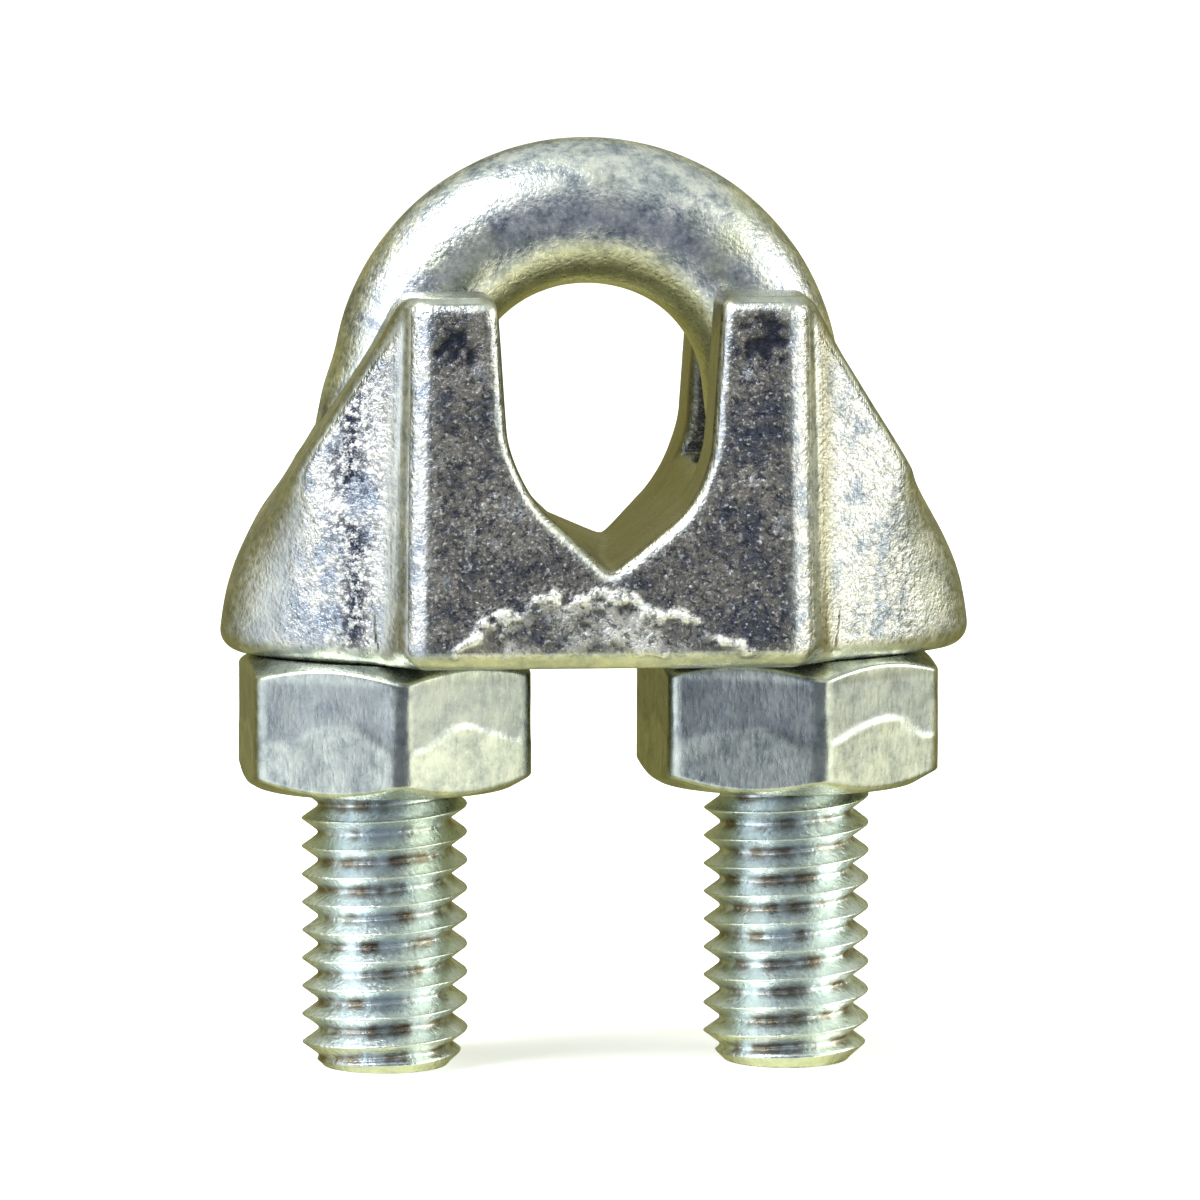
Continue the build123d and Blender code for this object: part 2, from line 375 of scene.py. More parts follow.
def build_u_bolt(look, material):
    """The U-bolt: two threaded legs and the bent bar between them."""
    turns = np.arange(look.columns) * 2 * pi / look.columns
    tip_radius = 2.2
    tip_height = 0.7
    tip_slope = tip_height / (CREST_RADIUS - tip_radius)

    def leg_limit(radii, heights):
        tip = tip_radius + heights / tip_slope
        run_out = ROOT_RADIUS + (look.thread_top - heights) * 0.95
        return np.minimum(radii, np.minimum(tip, run_out))

    points, faces, rises, rolled, inner = [], [], [], [], []
    count = 0
    for side, place in LEG_PLACES.items():
        leg, leg_faces, leg_rises = thread_sleeve(
            turns, ROOT_RADIUS, CREST_RADIUS, CREST_HEIGHTS[side], 0.0, look.thread_top, leg_limit
        )
        # Rolling leaves the crests a little uneven
        away = np.hypot(leg[:, 0], leg[:, 1])
        spot = leg + (place, 0, 0)
        worn = 0.012 * lumps(spot, 0.6, 4) + 0.008 * lumps(spot, 0.22, 5) - 0.014
        worn *= (leg[:, 2] > 0.05) & (leg[:, 2] < look.thread_top - 0.05)
        leg[:, :2] *= (1 + worn / away)[:, None]
        disc = [
            np.stack([radius * np.cos(turns), radius * np.sin(turns), 0 * turns], axis=1)
            for radius in (tip_radius, 1.9, 1.0)
        ]
        hub = np.zeros((1, 3))
        part = np.concatenate([leg, *disc, hub]) + (place, 0, 0)
        first = count + len(leg)
        last_ring = first + 2 * look.columns
        faces += [tuple(count + i for i in face) for face in leg_faces]
        faces += ring_faces(first, 3, look.columns)
        middle = last_ring + look.columns
        faces += [
            (last_ring + i, last_ring + (i + 1) % look.columns, middle) for i in range(look.columns)
        ]
        points.append(part)
        rises += [leg_rises, np.ones(3 * look.columns + 1)]
        rolled += [np.ones(len(part))]
        inner += [np.zeros(len(part))]
        count += len(part)
    rings = bar_rings(look, turns)
    bar = rings.reshape(-1, 3) + (BOLT_X, 0, 0)
    faces += ring_faces(count, len(rings), look.columns)
    points.append(bar)
    rises.append(np.ones(len(bar)))
    rolled.append(np.zeros(len(bar)))
    # The inside of the bends, where the bar's material paints a yellow-green reflection
    inner.append(np.tile(ease((-np.cos(turns) - 0.25) / 0.55), len(rings)))
    tones = {
        "thread_rise": np.concatenate(rises),
        "rolled": np.concatenate(rolled),
        "inner": np.concatenate(inner),
    }
    return make_piece(
        "bent_u_bolt", np.concatenate(points), faces, material, "u_bolt", "u_bolt", tones
    )


# ---------------------------------------------------------------- saddle


def round_meet(a, b, radius):
    """Signed distance of two solids' overlap, its outer edge rounded."""
    edge = np.hypot(np.maximum(a + radius, 0), np.maximum(b + radius, 0))
    return np.minimum(np.maximum(a, b), -radius) + edge


def round_join(a, b, radius):
    """Signed distance of two solids joined, the valley between them filled."""
    valley = np.hypot(np.maximum(radius - a, 0), np.maximum(radius - b, 0))
    return np.maximum(np.minimum(a, b), radius) - valley


def slanted_wall(across, deep, turn):
    """Signed distance from an upright wall that faces this many degrees round from the front."""
    return across * sin(radians(turn)) + deep * cos(radians(turn))


def seat_height(x, y):
    """Height of the rope seat: a valley whose line runs askew, its left side flatter at the back."""
    back = ease((y + 3.0) / 8.0)
    lane = 0.05 + 0.65 * back
    bottom, blunt = 18.0, 0.15
    left = np.hypot(np.minimum(x - lane, 0), blunt) * np.tan(radians(43) - radians(19) * back)
    right = np.hypot(np.maximum(x - lane, 0), blunt) * np.tan(radians(39) + radians(8) * back)
    return bottom + left + right


def saddle_field(x, y, z, look):
    """Signed distance of the casting's skin, in mm: negative inside."""
    low, high = SADDLE_LOW[2], SADDLE_HIGH[2]
    rise = (z - low) / (high - low)
    across, deep = np.abs(x), np.abs(y)
    top = z - (high - 0.04)
    bottom = low + 0.01 - z
    # The block between the flat faces draws in up to its top, and a flank runs back from each edge
    flank = slanted_wall(across - 7.2 + 0.3 * rise, deep - 6.2, 60)
    flank = np.maximum(flank, across - np.minimum(7.85, 7.05 + 0.35 * (high - z)))
    block = round_meet(flank, deep - (look.face_depth - 0.15 * rise), look.edge_radius)
    # The end lobes: a drafted wall that blends into a straight slope, rounder towards the base
    wall = 13.5 - (z - low) * tan(radians(3))
    slope = 6.85 + (high - z) * tan(radians(32.7))
    reach = (wall + slope - np.sqrt((wall - slope) ** 2 + 1)) / 2
    bulge = 0.3 * np.clip((21.5 - z) / 6.5, 0.02, 1)
    # The pattern's halves don't quite match: the slopes' back half is set in a little
    mismatch = (0.1 - 0.55 * ease((y + 1.5) / 3)) * ease((z - 19.5) / 2.5)
    end = (across - reach - mismatch + bulge * y**2 / 2) * 0.9
    facet = slanted_wall(across - 7.75, deep - 5.3, 25)
    ridge = 0.4 + 2.1 * ease((22.5 - z) / 6)
    lobe = round_meet(round_meet(end, facet, ridge), deep - 5.9, 0.3)
    body = round_join(block, lobe, 0.5)
    body = round_meet(round_meet(body, top, look.edge_radius), bottom, look.base_radius)
    # A round-ended passage for each leg, open to the rope's slot above the channel's floor
    hole, inner_x, outer_x, channel_floor = 3.05, 6.65, 7.44, 21.4
    passage = np.hypot(np.maximum(across - outer_x, 0) + np.minimum(across - inner_x, 0), y) - hole
    channel = np.maximum(np.maximum(deep - hole, channel_floor - z), across - outer_x)
    body = round_meet(body, -np.minimum(passage, channel), 0.25)
    # The rope's slot, its sides opening a little towards the top
    side = across - 3.45 - 0.07 * np.maximum(z - 21.5, 0)
    seat = (seat_height(x, y) - z) * cos(radians(38))
    return round_meet(body, -round_meet(side, seat, 1.3), look.slot_edge_radius)


def skin_mesh(field, low, high, cell):
    """Points and faces of the surface where a field crosses zero: one point per crossed cell."""
    axes = [np.arange(a - 1.5 * cell, b + 2.5 * cell, cell) for a, b in zip(low, high)]
    values = field(axes[0][:, None, None], axes[1][None, :, None], axes[2][None, None, :])
    cells = np.array(values.shape) - 1
    total = np.zeros((cells.prod(), 3))
    hits = np.zeros(cells.prod())
    quads = []
    for axis in range(3):
        near = np.delete(values, -1, axis)
        far = np.delete(values, 0, axis)
        edges = np.argwhere((near < 0) != (far < 0))
        start, stop = near[tuple(edges.T)], far[tuple(edges.T)]
        places = edges.astype(float)
        places[:, axis] += start / (start - stop)
        first, second = (a for a in range(3) if a != axis)
        around = []
        for down, back in ((1, 1), (0, 1), (0, 0), (1, 0)):
            corner = edges.copy()
            corner[:, first] -= down
            corner[:, second] -= back
            number = np.ravel_multi_index(tuple(corner.T), cells)
            np.add.at(total, number, places)
            np.add.at(hits, number, 1)
            around.append(number)
        quads.append(np.stack(around, axis=1))
    used = np.flatnonzero(hits)
    renumber = np.full(len(hits), -1)
    renumber[used] = np.arange(len(used))
    points = total[used] / hits[used, None] * cell + [a[0] for a in axes]
    return points, renumber[np.concatenate(quads)]


def field_at(field, points, step):
    """A field's value and gradient at points."""
    gradient = np.zeros_like(points)
    for axis in range(3):
        shift = np.zeros(3)
        shift[axis] = step
        gradient[:, axis] = (field(*(points + shift).T) - field(*(points - shift).T)) / (2 * step)
    return field(*points.T), gradient


def saddle_tones(points, normals, edge):
    """Where the casting's skin is grainy, on a facet painted bright, streaked, pitted, or olive with film
    and painted shade, from 0 to 1.
    """
    x, z = points[:, 0], points[:, 2]
    across, facing = np.abs(x), np.abs(normals[:, 1])
    # The sand leaves the flat faces and facets grainy; the edges, ends, slopes and seat are smoother, and
    # the edges are painted paler as a rim highlight
    sandy = ease((facing - 0.66) / 0.17) * (1 - 0.75 * ease((across - 10.4) / 1.4))
    sandy = np.maximum(sandy, 0.15 * ease((24.0 - z) / 5)) * ease(1 - 1.5 * np.maximum(edge, 0))
    sandy *= ease((z - SADDLE_LOW[2] - 0.3) / 0.4)
    # The slanted side facets are painted bright, a painted highlight, but for a dull grainy streak down
    # each
    facet = ease((0.985 - facing) / 0.05)
    streak = across - np.where(x < 0, 8.9, 10.6) + 0.5 * lumps(points, 2.5, 20)
    streak = np.exp(-((streak / 0.65) ** 2)) * ease(0.9 + lumps(points, 1.2, 23))
    streak *= np.where(x < 0, 1.0, 0.5) * facet
    # Pits gather near the tops of the horns
    pitted = np.exp(-(((across - 5.35) / 0.85) ** 2) - ((z - 26.1) / 0.75) ** 2)
    pits = ease(1.6 * pitted - 0.35 + 1.5 * lumps(points, 0.3, 17)) * ease(3 * pitted)
    pits *= ease((facing - 0.9) / 0.05)
    # The rope's slot and the valleys beside the flat faces are tinted olive: the plating's thick film, with
    # painted shade and olive reflection, strongest in the right valley
    slot = ease((4.7 - across) / 0.4) * ease((0.8 - facing) / 0.3) * ease((z - 17.3) / 0.5)
    valley = np.exp(-(((across - 7.6) / 0.3) ** 2)) * ease((0.97 - facing) / 0.1)
    film = np.maximum(slot, np.where(x < 0, 0.4, 1.0) * valley)
    return {"sandy": sandy, "facet": facet, "streak": streak, "pits": pits, "film": film}


def cast_mark(points, normals):
    """A rough raised mark low on the front: a ragged rim over a few broken lumps and a low plateau."""
    x, z = points[:, 0], points[:, 2]
    front = ease((-normals[:, 1] - 0.8) / 0.15)
    reach = 5.5 - np.abs(x + 0.2)
    rim = 17.25 - 0.07 * (x + 0.5) ** 2 + 0.45 * lumps(points, 1.1, 14) + 0.3 * lumps(points, 0.42, 15)
    ragged = ease(0.75 + 1.5 * lumps(points, 0.32, 16))
    ridge = np.exp(-(((z - rim) / 0.27) ** 2)) * ragged
    inner = np.exp(-(((z - rim + 1.2) / 0.35) ** 2)) * ease(0.2 + 1.6 * lumps(points, 0.9, 19)) * ragged
    mark = (ridge + 0.8 * inner) * front * ease(reach / 0.5)
    plateau = ease((rim - z) / 0.3) * ease((z - 15.1) / 0.4) * front * ease(reach / 0.6)
    plateau *= 0.3 * (0.6 + 0.8 * lumps(points, 0.5, 24))
    return mark, plateau


def build_saddle(look, material):
    """The saddle casting: its field's skin, roughened by the sand and by the raised mark."""
    def field(x, y, z):
        return saddle_field(x, y, z, look)

    points, faces = skin_mesh(field, SADDLE_LOW, SADDLE_HIGH, look.cell)
    for _ in range(3):
        value, gradient = field_at(field, points, 0.01)
        points -= gradient * (value / np.maximum((gradient**2).sum(axis=1), 0.2))[:, None]
    normals = gradient / np.linalg.norm(gradient, axis=1)[:, None]
    # The field's mean around a point tells an edge, above 0, from a valley, below 0
    offsets = np.concatenate([np.eye(3), -np.eye(3)]) * 0.4
    around = sum(field(*(points + offset).T) for offset in offsets) / 6
    tones = saddle_tones(points, normals, np.clip(around * 6, -1, 1))
    mark, plateau = cast_mark(points, normals)
    grains = 0.5 * lumps(points, 0.75, 11) + 0.45 * lumps(points, 0.36, 12) + 0.35 * lumps(points, 0.2, 13)
    swell = lumps(points, 2.4, 18) - 0.4
    height = look.skin_depth * (tones["sandy"] * (grains - 0.5) + 0.5 * swell)
    height += look.mark_height * (mark + plateau) - look.pit_depth * tones["pits"]
    points = points + normals * height[:, None]
    tones["mark"] = np.maximum(mark, plateau)
    faces = faces.tolist()
    return make_piece("cast_saddle", points, faces, material, "saddle", "saddle", tones)


# ---------------------------------------------------------------- nuts


def soft_least(a, b, blend):
    """The lesser of two radii, blended where they are close."""
    return np.minimum(a, b) - np.maximum(blend - np.abs(a - b), 0) ** 2 / (4 * blend)


def build_nut(look, material, side, place, turn):
    """One hex nut, threaded to suit its leg and turned this far from the front."""
    low, high = NUT_LOW[2], NUT_HIGH[2]
    flat = look.across_flats / 2
    steps = np.sin(np.linspace(-1, 1, 29)[:-1] * pi / 2) * pi / 6
    turns = np.concatenate([turn - pi / 2 + pi / 6 + sector * pi / 3 + steps for sector in range(6)])
    offsets = np.tile(steps, 6)
    from_corner = pi / 6 - np.abs(offsets)
    centre = (flat - look.corner_radius) / cos(pi / 6)
    bend = np.sqrt(np.maximum(look.corner_radius**2 - (centre * np.sin(from_corner)) ** 2, 0))
    tangent = atan2(look.corner_radius / 2, centre + look.corner_radius * cos(pi / 6))
    outline = np.where(from_corner < tangent, centre * np.cos(from_corner) + bend, flat / np.cos(offsets))
    share = np.linspace(0, 1, 80)
    heights = low + (high - low) * (0.45 * share + 0.55 * (1 - np.cos(pi * share)) / 2)
    depth = np.minimum(heights - low, high - heights)
    # Both ends are chamfered at 30 degrees, down to a round bearing face
    bearing = 4.6
    cone = bearing + 0.02 + depth / tan(radians(30))
    radii = soft_least(np.broadcast_to(outline, (len(share), len(turns))), cone[:, None], 0.16)
    # Cold forming in two dies leaves a wavy step halfway up each flat
    girth = np.stack([flat * turns, place + 0 * turns, 0 * turns], axis=1)
    wave = 0.3 * lumps(girth, 1.3, 21) + 0.35 * np.cos(offsets * 4.6) - 0.3
    step = heights[:, None] - (low + high) / 2 - wave
    middle = ease((pi / 6 - np.abs(offsets)) / radians(6))[None, :] * ease((depth - 0.35) / 0.4)[:, None]
    lip = 0.4 * np.exp(-((step / 0.13) ** 2))
    radii = radii + middle * look.forging_step * (ease(0.5 - step / 0.3) + lip - 1.0)
    radii[[0, -1]] = bearing
    shell = np.stack([radii * np.cos(turns), radii * np.sin(turns), heights[:, None] + 0 * radii], axis=-1)
    worn = 0.012 * lumps(shell.reshape(-1, 3) + (place, 0, 0), 0.9, 22).reshape(radii.shape) - 0.012
    worn[[0, -1]] = 0
    shell[..., :2] *= (1 + worn / radii)[..., None]

    def ring(radius, height):
        return np.stack([radius * np.cos(turns), radius * np.sin(turns), 0 * turns + height], axis=1)

    mouth = 3.15
    face_radii = (mouth, 3.6, 4.2)
    lower = [ring(radius, low) for radius in face_radii]
    upper_face = [ring(radius, high) for radius in reversed(face_radii)]
    rings = [*lower, *shell, *upper_face]

    def bore_limit(radii, heights):
        return np.maximum(radii, mouth - np.minimum(heights - low, high - heights))

    bore, bore_faces, rises = thread_sleeve(turns, 2.5, 3.02, CREST_HEIGHTS[side], low, high, bore_limit)
    outer = np.concatenate(rings)
    points = np.concatenate([outer, bore]) + (place, 0, 0)
    faces = ring_faces(0, len(rings), len(turns))
    faces += [tuple(len(outer) + i for i in face) for face in bore_faces]
    upper = (middle * ease(0.5 + step / 0.2)).reshape(-1)
    around = len(turns)
    tier = np.concatenate([np.zeros(3 * around), upper, np.zeros(3 * around + len(bore))])
    tones = {"thread_rise": np.concatenate([np.ones(len(outer)), 1 - rises]), "upper_die": tier}
    name = side + "_nut"
    return make_piece("hex_" + name, points, faces, material, name, name, tones)


# ---------------------------------------------------------------- materials


def per_mm(size):
    """Noise scale for a pattern whose lumps are this many mm apart."""
    return 1 / (size * MM)


def new_surface(name):
    """An empty material: its node tree, its shader and its object coordinates."""
    material = bpy.data.materials.new(name)
    material.use_nodes = True
    tree = material.node_tree
    shader = tree.nodes["Principled BSDF"]
    shader.inputs["Metallic"].default_value = 1.0
    return material, tree, shader, add_node(tree, "ShaderNodeTexCoord").outputs["Object"]


def zinc_plated_drawn_steel():
    """Bright zinc electroplate over drawn, rolled steel: satin, fine grain, thin yellow-green film, and a
    painted yellow-green reflection inside the bends.
    """
    material, tree, shader, place = new_surface("zinc_plated_drawn_steel")
    blotch = add_node(
        tree,
        "ShaderNodeTexNoise",
        {"Vector": place, "Scale": per_mm(0.7), "Detail": 5.0, "Roughness": 0.75},
    ).outputs["Fac"]
    grain = add_node(tree, "ShaderNodeTexNoise", {"Vector": place, "Scale": per_mm(0.16)}).outputs["Fac"]
    plate = add_node(
        tree,
        "ShaderNodeValToRGB",
        {"Fac": blotch},
        stops=[(0.36, linear("88919A")), (0.47, linear("B6BCBE")), (0.6, linear("DEE0DB"))],
    ).outputs["Color"]
    # The film gathers in clouds; on the inside of the bends the same yellow-green is a painted reflection
    # of the pale table below
    cloud = add_node(tree, "ShaderNodeTexNoise", {"Vector": place, "Scale": per_mm(3.0)}).outputs["Fac"]
    cloud = add_node(
        tree, "ShaderNodeMapRange", {"Value": cloud, FROM_LOW: 0.5, FROM_HIGH: 0.68, TO_HIGH: 0.4}
    ).outputs["Result"]
    inner = add_node(tree, "ShaderNodeAttribute", attribute_name="inner").outputs["Fac"]
    inner = add_node(tree, "ShaderNodeMapRange", {"Value": inner, TO_HIGH: 0.6}).outputs["Result"]
    film = add_node(tree, "ShaderNodeMath", {0: cloud, 1: inner}, operation="MAXIMUM").outputs[0]
    colour = add_node(
        tree, "ShaderNodeMix", {SHARE: film, UNDER: plate, OVER: linear("F4F5C4")}, data_type="RGBA"
    ).outputs[MIXED]
    # Rolling burnishes the thread's crests, and the thread's roots are painted darker brown in patches
    rolled = add_node(tree, "ShaderNodeAttribute", attribute_name="rolled").outputs["Fac"]
    rolled = add_node(tree, "ShaderNodeMapRange", {"Value": rolled, TO_HIGH: 0.65}).outputs["Result"]
    colour = add_node(
        tree, "ShaderNodeMix", {SHARE: rolled, UNDER: colour, OVER: linear("E6F3F1")}, data_type="RGBA"
    ).outputs[MIXED]
    roots = add_node(tree, "ShaderNodeAttribute", attribute_name="thread_rise").outputs["Fac"]
    roots = add_node(
        tree,
        "ShaderNodeMapRange",
        {"Value": roots, FROM_LOW: 0.0, FROM_HIGH: 0.55, TO_LOW: 0.9, TO_HIGH: 0.0},
    ).outputs["Result"]
    smear = add_node(tree, "ShaderNodeTexNoise", {"Vector": place, "Scale": per_mm(0.9)}).outputs["Fac"]
    smear = add_node(
        tree, "ShaderNodeMapRange", {"Value": smear, FROM_LOW: 0.42, FROM_HIGH: 0.6}
    ).outputs["Result"]
    brown_root_patches = add_node(tree, "ShaderNodeMath", {0: roots, 1: smear}, operation="MULTIPLY").outputs[0]
    colour = add_node(
        tree, "ShaderNodeMix", {SHARE: brown_root_patches, UNDER: colour, OVER: linear("7A6A4E")}, data_type="RGBA"
    ).outputs[MIXED]
    rough = add_node(
        tree,
        "ShaderNodeMapRange",
        {"Value": grain, FROM_LOW: 0.3, FROM_HIGH: 0.7, TO_LOW: 0.24, TO_HIGH: 0.42},
    ).outputs["Result"]
    relief = add_node(tree, "ShaderNodeMath", {0: grain, 1: blotch}, operation="ADD").outputs[0]
    bump = add_node(tree, "ShaderNodeBump", {"Height": relief, "Strength": 0.65, "Distance": 0.04 * MM})
    tree.links.new(colour, shader.inputs["Base Color"])
    tree.links.new(rough, shader.inputs["Roughness"])
    tree.links.new(bump.outputs["Normal"], shader.inputs["Normal"])
    return material


def zinc_plated_sand_casting():
    """Zinc electroplate over sand-cast iron: dark grain with painted glints on the flats, smooth edges
    painted bright as a rim highlight.
    """
    material, tree, shader, place = new_surface("zinc_plated_sand_casting")
    tones = {
        name: add_node(tree, "ShaderNodeAttribute", attribute_name=name).outputs["Fac"]
        for name in ("sandy", "facet", "streak", "pits", "mark", "film")
    }
    patches = add_node(
        tree,
        "ShaderNodeTexNoise",
        {"Vector": place, "Scale": per_mm(1.5), "Detail": 6.0, "Roughness": 0.75},
    ).outputs["Fac"]
    grit = add_node(
        tree,
        "ShaderNodeTexNoise",
        {"Vector": place, "Scale": per_mm(0.28), "Detail": 4.0, "Roughness": 0.75},
    ).outputs["Fac"]
    glints = add_node(tree, "ShaderNodeTexNoise", {"Vector": place, "Scale": per_mm(0.15)}).outputs["Fac"]
    plate = add_node(
        tree,
        "ShaderNodeValToRGB",
        {"Fac": patches},
        stops=[
            (0.38, linear("474B56")),
            (0.48, linear("666463")),
            (0.56, linear("7C7974")),
            (0.66, linear("8F949B")),
        ],
    ).outputs["Color"]
    # Painted highlight: the slanted facets are painted white and pale blue, where the front is dull
    painted_facet_highlight = add_node(
        tree, "ShaderNodeMapRange", {"Value": patches, FROM_LOW: 0.4, FROM_HIGH: 0.52}
    ).outputs["Result"]
    painted_facet_highlight = add_node(
        tree,
        "ShaderNodeMix",
        {SHARE: painted_facet_highlight, UNDER: linear("AEB9C8"), OVER: linear("F6F6F2")},
        data_type="RGBA",
    ).outputs[MIXED]
    colour = add_node(
        tree, "ShaderNodeMix", {SHARE: tones["facet"], UNDER: plate, OVER: painted_facet_highlight}, data_type="RGBA"
    ).outputs[MIXED]
    # Dark shade in the hollows of the grit
    hollows = add_node(
        tree, "ShaderNodeMapRange", {"Value": grit, FROM_LOW: 0.52, FROM_HIGH: 0.4}
    ).outputs["Result"]
    dark = add_node(
        tree, "ShaderNodeMapRange", {"Value": tones["facet"], TO_LOW: 0.85, TO_HIGH: 0.45}
    ).outputs["Result"]
    hollows = add_node(tree, "ShaderNodeMath", {0: hollows, 1: dark}, operation="MULTIPLY").outputs[0]
    shade = add_node(
        tree,
        "ShaderNodeMix",
        {SHARE: tones["facet"], UNDER: linear("2A2E3A"), OVER: linear("56617A")},
        data_type="RGBA",
    ).outputs[MIXED]
    colour = add_node(
        tree, "ShaderNodeMix", {SHARE: hollows, UNDER: colour, OVER: shade}, data_type="RGBA"
    ).outputs[MIXED]
    specks = add_node(
        tree, "ShaderNodeMapRange", {"Value": grit, FROM_LOW: 0.62, FROM_HIGH: 0.46}
    ).outputs["Result"]
    specks = add_node(
        tree, "ShaderNodeMath", {0: tones["streak"], 1: specks}, operation="MULTIPLY"
    ).outputs[0]
    colour = add_node(
        tree, "ShaderNodeMix", {SHARE: specks, UNDER: colour, OVER: linear("2E3446")}, data_type="RGBA"
    ).outputs[MIXED]
    # Painted glints: tiny near-white specks painted over the grain
    painted_glints = add_node(
        tree, "ShaderNodeMapRange", {"Value": glints, FROM_LOW: 0.58, FROM_HIGH: 0.76, TO_HIGH: 0.5}
    ).outputs["Result"]
    colour = add_node(
        tree, "ShaderNodeMix", {SHARE: painted_glints, UNDER: colour, OVER: linear("F2F4F6")}, data_type="RGBA"
    ).outputs[MIXED]
    # The end lobes and every edge are smoother and paler; on the edges the paler colour is a painted rim
    # highlight
    cloud = add_node(
        tree,
        "ShaderNodeTexNoise",
        {"Vector": place, "Scale": per_mm(1.4), "Detail": 4.0, "Roughness": 0.7},
    ).outputs["Fac"]
    cloud = add_node(
        tree, "ShaderNodeMapRange", {"Value": cloud, FROM_LOW: 0.38, FROM_HIGH: 0.62}
    ).outputs["Result"]
    smooth = add_node(
        tree,
        "ShaderNodeMix",
        {SHARE: cloud, UNDER: linear("9CA29E"), OVER: linear("C6C9BC")},
        data_type="RGBA",
    ).outputs[MIXED]
    # Painted shade and olive reflection over the film, in the rope's slot and the valleys
    olive = add_node(tree, "ShaderNodeMapRange", {"Value": tones["film"], TO_HIGH: 0.6}).outputs["Result"]
    colour = add_node(
        tree, "ShaderNodeMix", {SHARE: tones["sandy"], UNDER: smooth, OVER: colour}, data_type="RGBA"
    ).outputs[MIXED]
    colour = add_node(
        tree, "ShaderNodeMix", {SHARE: olive, UNDER: colour, OVER: linear("8C8458")}, data_type="RGBA"
    ).outputs[MIXED]
    pits = add_node(
        tree, "ShaderNodeMapRange", {"Value": tones["pits"], FROM_LOW: 0.2, TO_HIGH: 0.85}
    ).outputs["Result"]
    colour = add_node(
        tree, "ShaderNodeMix", {SHARE: pits, UNDER: colour, OVER: linear("262B38")}, data_type="RGBA"
    ).outputs[MIXED]
    # Painted highlight: the raised mark is painted near white, broken up by the grit, where its ridge
    # catches the light
    raised = add_node(
        tree, "ShaderNodeMapRange", {"Value": tones["mark"], FROM_LOW: 0.1, FROM_HIGH: 0.5}
    ).outputs["Result"]
    broken = add_node(
        tree, "ShaderNodeMapRange", {"Value": grit, FROM_LOW: 0.4, FROM_HIGH: 0.52, TO_LOW: 0.25}
    ).outputs["Result"]
    raised = add_node(tree, "ShaderNodeMath", {0: raised, 1: broken}, operation="MULTIPLY").outputs[0]
    colour = add_node(
        tree, "ShaderNodeMix", {SHARE: raised, UNDER: colour, OVER: linear("F0F1EA")}, data_type="RGBA"
    ).outputs[MIXED]
    # Real sand grains are finer than this, but would not show
    coarse = add_node(
        tree, "ShaderNodeMapRange", {"Value": tones["sandy"], TO_LOW: 0.06}
    ).outputs["Result"]
    relief = add_node(tree, "ShaderNodeMath", {0: grit, 1: glints}, operation="ADD").outputs[0]
    relief = add_node(tree, "ShaderNodeMath", {0: relief, 1: coarse}, operation="MULTIPLY").outputs[0]
    dull = add_node(
        tree, "ShaderNodeMapRange", {"Value": grit, FROM_LOW: 0.35, FROM_HIGH: 0.65, TO_HIGH: 0.2}
    ).outputs["Result"]
    base = add_node(
        tree, "ShaderNodeMapRange", {"Value": tones["sandy"], TO_LOW: 0.22, TO_HIGH: 0.3}
    ).outputs["Result"]
    rough = add_node(tree, "ShaderNodeMath", {0: dull, 1: base}, operation="ADD").outputs[0]
    bump = add_node(tree, "ShaderNodeBump", {"Height": relief, "Strength": 1.0, "Distance": 0.1 * MM})
    tree.links.new(colour, shader.inputs["Base Color"])
    tree.links.new(rough, shader.inputs["Roughness"])
    tree.links.new(bump.outputs["Normal"], shader.inputs["Normal"])
    return material


def zinc_plated_cold_formed_steel():
    """Zinc electroplate over cold-formed nuts: smooth flats, faintly streaked, under a pale green film."""
    material, tree, shader, place = new_surface("zinc_plated_cold_formed_steel")
    blotch = add_node(
        tree,
        "ShaderNodeTexNoise",
        {"Vector": place, "Scale": per_mm(0.9), "Detail": 6.0, "Roughness": 0.75},
    ).outputs["Fac"]
    upright = add_node(tree, "ShaderNodeMapping", {"Vector": place, "Scale": (1.0, 1.0, 0.4)}).outputs[0]
    streaks = add_node(
        tree, "ShaderNodeTexNoise", {"Vector": upright, "Scale": per_mm(0.16), "Detail": 3.0}
    ).outputs["Fac"]
    plate = add_node(
        tree,
        "ShaderNodeValToRGB",
        {"Fac": blotch},
        stops=[(0.36, linear("8C938D")), (0.47, linear("A8AEA3")), (0.6, linear("BDC2B3"))],
    ).outputs["Color"]
    upper = add_node(tree, "ShaderNodeAttribute", attribute_name="upper_die").outputs["Fac"]
    upper = add_node(tree, "ShaderNodeMapRange", {"Value": upper, TO_HIGH: 0.45}).outputs["Result"]
    colour = add_node(
        tree, "ShaderNodeMix", {SHARE: upper, UNDER: plate, OVER: linear("787D83")}, data_type="RGBA"
    ).outputs[MIXED]
    roots = add_node(tree, "ShaderNodeAttribute", attribute_name="thread_rise").outputs["Fac"]
    roots = add_node(
        tree, "ShaderNodeMapRange", {"Value": roots, FROM_HIGH: 0.9, TO_LOW: 0.5, TO_HIGH: 0.0}
    ).outputs["Result"]
    colour = add_node(
        tree, "ShaderNodeMix", {SHARE: roots, UNDER: colour, OVER: linear("6E6350")}, data_type="RGBA"
    ).outputs[MIXED]
    rough = add_node(
        tree,
        "ShaderNodeMapRange",
        {"Value": streaks, FROM_LOW: 0.3, FROM_HIGH: 0.7, TO_LOW: 0.22, TO_HIGH: 0.36},
    ).outputs["Result"]
    relief = add_node(tree, "ShaderNodeMath", {0: streaks, 1: blotch}, operation="ADD").outputs[0]
    bump = add_node(tree, "ShaderNodeBump", {"Height": relief, "Strength": 0.3, "Distance": 0.03 * MM})
    tree.links.new(colour, shader.inputs["Base Color"])
    tree.links.new(rough, shader.inputs["Roughness"])
    tree.links.new(bump.outputs["Normal"], shader.inputs["Normal"])
    return material


